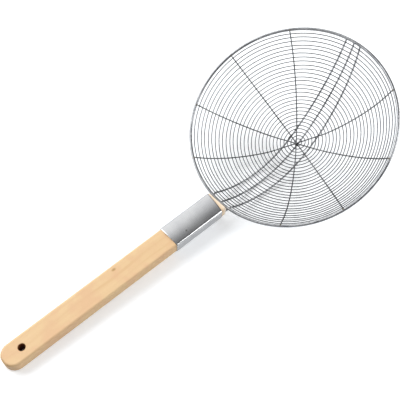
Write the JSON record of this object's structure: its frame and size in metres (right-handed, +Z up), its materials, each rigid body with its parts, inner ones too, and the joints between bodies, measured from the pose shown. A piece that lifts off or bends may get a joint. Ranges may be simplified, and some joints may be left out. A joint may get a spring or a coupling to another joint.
{
  "type": "spider skimmer",
  "caption": "Spider skimmer: a shallow round bowl of welded wire rings on spokes and ribs, with a flat wooden handle, sheet ferrule and hanging hole.",
  "frame": {"origin": "middle of the footprint's bounding box, on the surface that the skimmer lies on", "axes": "+Z up from the table, +X from the handle towards the bowl, the handle lying along -X"},
  "size_m": [0.4444, 0.22, 0.1325],
  "materials": {
    "beech": "fine sanded, bare or lightly oiled",
    "ferrule sheet": "satin",
    "nail": "dull",
    "rim wire": "drawn, semi bright",
    "rib wire": "drawn, semi bright",
    "spoke wire": "drawn, semi bright",
    "mesh wire": "drawn, semi bright"
  },
  "bodies": {
    "root": {"wooden_handle": "beech", "ferrule": "ferrule sheet", "ferrule_nail": "nail", "rim": "rim wire", "rib_left": "rib wire", "rib_middle": "rib wire", "rib_right": "rib wire", "spoke_1": "spoke wire", "spoke_2": "spoke wire", "spoke_3": "spoke wire", "spoke_4": "spoke wire", "mesh_ring_01": "mesh wire", "mesh_ring_02": "mesh wire", "mesh_ring_03": "mesh wire", "mesh_ring_04": "mesh wire", "mesh_ring_05": "mesh wire", "mesh_ring_06": "mesh wire", "mesh_ring_07": "mesh wire", "mesh_ring_08": "mesh wire", "mesh_ring_09": "mesh wire", "mesh_ring_10": "mesh wire", "mesh_ring_11": "mesh wire", "mesh_ring_12": "mesh wire", "mesh_ring_13": "mesh wire", "mesh_ring_14": "mesh wire", "mesh_ring_15": "mesh wire", "mesh_ring_16": "mesh wire", "mesh_ring_17": "mesh wire", "mesh_ring_18": "mesh wire", "mesh_ring_19": "mesh wire", "mesh_ring_20": "mesh wire", "mesh_ring_21": "mesh wire", "mesh_ring_22": "mesh wire", "mesh_ring_23": "mesh wire", "mesh_ring_24": "mesh wire", "mesh_ring_25": "mesh wire", "mesh_ring_26": "mesh wire", "mesh_ring_27": "mesh wire", "mesh_ring_28": "mesh wire", "mesh_ring_29": "mesh wire"}
  },
  "joints": []
}
